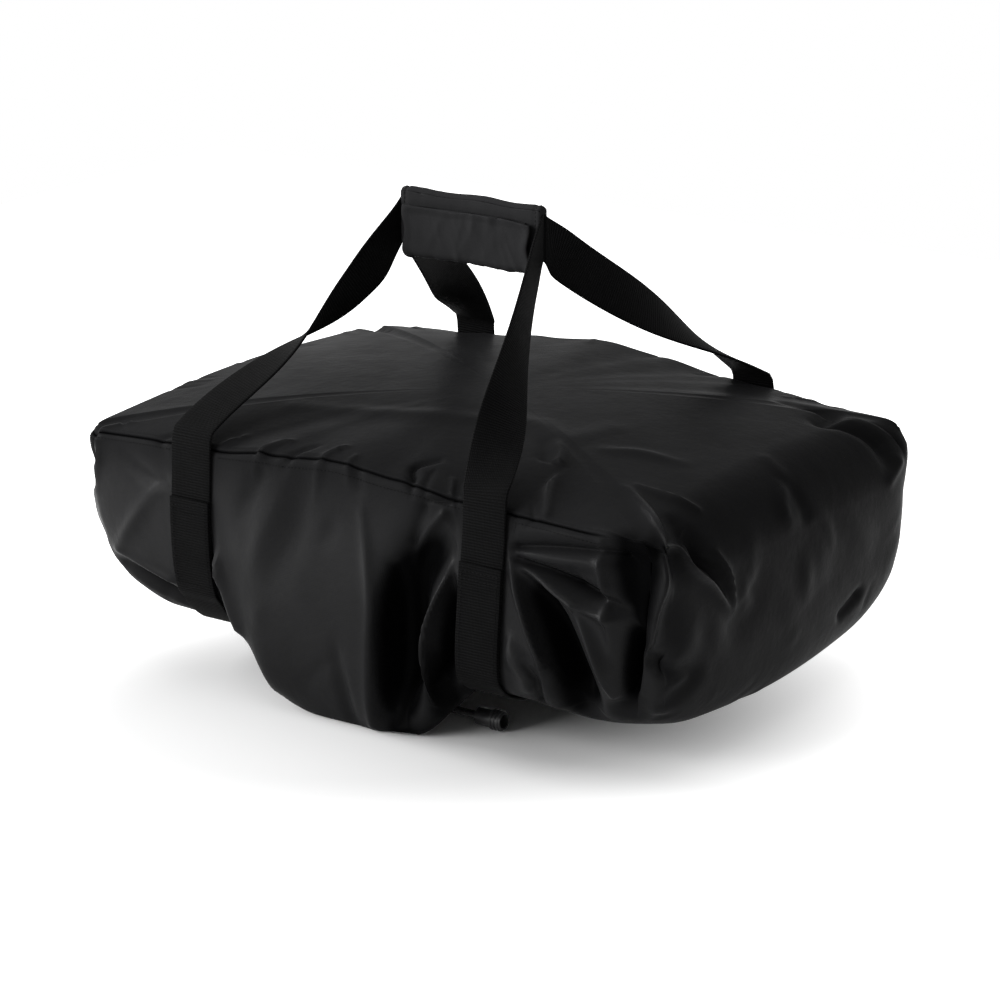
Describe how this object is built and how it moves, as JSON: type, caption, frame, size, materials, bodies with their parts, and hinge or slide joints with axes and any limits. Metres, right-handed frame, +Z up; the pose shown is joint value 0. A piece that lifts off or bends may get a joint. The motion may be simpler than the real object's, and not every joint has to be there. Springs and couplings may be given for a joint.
{
  "type": "roundnet set in carry bag",
  "caption": "Soft carry bag with webbing slings, a wrapped hand grip and a drawcord mouth, holding a roundnet ring in sections, legs, folded net and balls.",
  "frame": {"origin": "under the middle of the bag, on the plane that it rests on", "axes": "+X along the bag to its right end, -Y to its front, +Z up"},
  "size_m": [0.577, 0.4312, 0.3966],
  "materials": {
    "nylon": "woven nylon with a soft sheen",
    "webbing": "ribbed woven webbing",
    "wrap": "padded nylon",
    "tape": "hook and loop pile",
    "cord": "braided cord",
    "black_plastic": "moulded",
    "spring_steel": "drawn wire",
    "rim_plastic": "moulded",
    "leg_plastic": "moulded",
    "foot_rubber": "matte",
    "netting": "knitted net",
    "ball_rubber": "pebbled"
  },
  "bodies": {
    "bag": {"top_panel": "nylon", "front_panel": "nylon", "back_panel": "nylon", "left_end_panel": "nylon", "right_end_panel": "nylon", "base_panel": "nylon", "mouth_hem": "nylon", "left_sling": "webbing", "right_sling": "webbing", "front_handle": "webbing", "back_handle": "webbing", "drawcord": "cord", "cord_tail_left": "cord", "cord_tail_right": "cord", "cord_bell": "black_plastic", "cord_knot": "cord", "rim_section_1": "rim_plastic", "rim_section_2": "rim_plastic", "rim_section_3": "rim_plastic", "rim_section_4": "rim_plastic", "rim_section_5": "rim_plastic", "leg_tube_1": "leg_plastic", "leg_tube_2": "leg_plastic", "leg_tube_3": "leg_plastic", "leg_tube_4": "leg_plastic", "leg_tube_5": "leg_plastic", "leg_head_1": "black_plastic", "leg_head_2": "black_plastic", "leg_head_3": "black_plastic", "leg_head_4": "black_plastic", "leg_head_5": "black_plastic", "leg_foot_1": "foot_rubber", "leg_foot_2": "foot_rubber", "leg_foot_3": "foot_rubber", "leg_foot_4": "foot_rubber", "leg_foot_5": "foot_rubber", "net": "netting", "net_hooks": "black_plastic", "ball_1": "ball_rubber", "ball_2": "ball_rubber", "ball_3": "ball_rubber"},
    "grip": {"grip_wrap": "wrap", "loop_tape": "tape"},
    "flap": {"grip_flap": "wrap", "hook_tape": "tape"},
    "cord_lock": {"cord_lock_barrel": "black_plastic", "cord_lock_spring": "spring_steel"},
    "lock_button": {"cord_lock_button": "black_plastic"}
  },
  "joints": [
    {"name": "grip_drop", "type": "slide", "parent": "bag", "child": "grip", "axis": [0, 0, -1], "range_m": [0, 0.09], "deforming": ["front_handle", "back_handle"]},
    {"name": "flap_hinge", "type": "hinge", "parent": "grip", "child": "flap", "pos_m": [-0.02, -0.0059, 0.3471], "axis": [1, 0, 0], "range_deg": [0, 95]},
    {"name": "lock_slide", "type": "slide", "parent": "bag", "child": "cord_lock", "axis": [1, 0, 0], "range_m": [-0.006, 0.03]},
    {"name": "button_press", "type": "slide", "parent": "cord_lock", "child": "lock_button", "axis": [0, -1, 0], "range_m": [0, 0.004], "stiffness_N_per_m": 400, "springref_m": -0.002, "deforming": ["cord_lock_spring"]}
  ]
}
